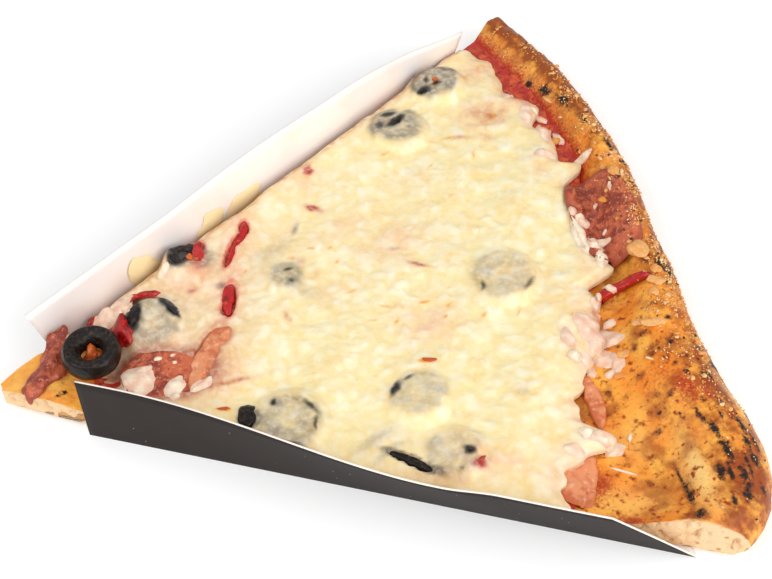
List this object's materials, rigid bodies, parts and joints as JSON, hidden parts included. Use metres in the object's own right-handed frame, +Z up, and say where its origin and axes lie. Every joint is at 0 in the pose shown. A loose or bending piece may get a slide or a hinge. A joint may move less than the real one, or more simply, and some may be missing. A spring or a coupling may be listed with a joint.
{
  "type": "pizza slice",
  "caption": "Triangular slice of pizza with a raised crust, melted cheese, olive rings, ham, salami and pepper strips, lying in a folded card slice tray.",
  "frame": {"origin": "middle of the bounding box, on the surface that the tray lies on", "axes": "+X from the point of the slice to its crust, +Y across the slice towards the back cut, +Z up"},
  "size_m": [0.1938, 0.2084, 0.024],
  "materials": {
    "card": "satin",
    "dough": "matte",
    "sauce": "satin",
    "cheese": "satin",
    "olive": "gloss",
    "salami": "satin",
    "ham": "satin",
    "pepper": "gloss"
  },
  "bodies": {
    "root": {"card_tray": "card", "dough": "dough", "ham_by_crust": "ham", "ham_front_corner": "ham", "ham_near_tip": "ham", "melted_cheese": "cheese", "olive_back_bit": "olive", "olive_back_corner": "olive", "olive_back_middle": "olive", "olive_by_crust": "olive", "olive_centre_bit": "olive", "olive_front_corner": "olive", "olive_front_middle": "olive", "olive_front_slit": "olive", "olive_front_wall": "olive", "olive_near_tip": "olive", "olive_on_tip": "olive", "olive_wall_bit": "olive", "pepper_back_curved": "pepper", "pepper_back_short": "pepper", "pepper_by_crust": "pepper", "pepper_by_olive": "pepper", "pepper_middle": "pepper", "pepper_on_tip": "pepper", "salami_by_crust": "salami", "salami_near_tip": "salami", "salami_strip_on_tip": "salami", "tomato_sauce": "sauce"}
  },
  "joints": []
}
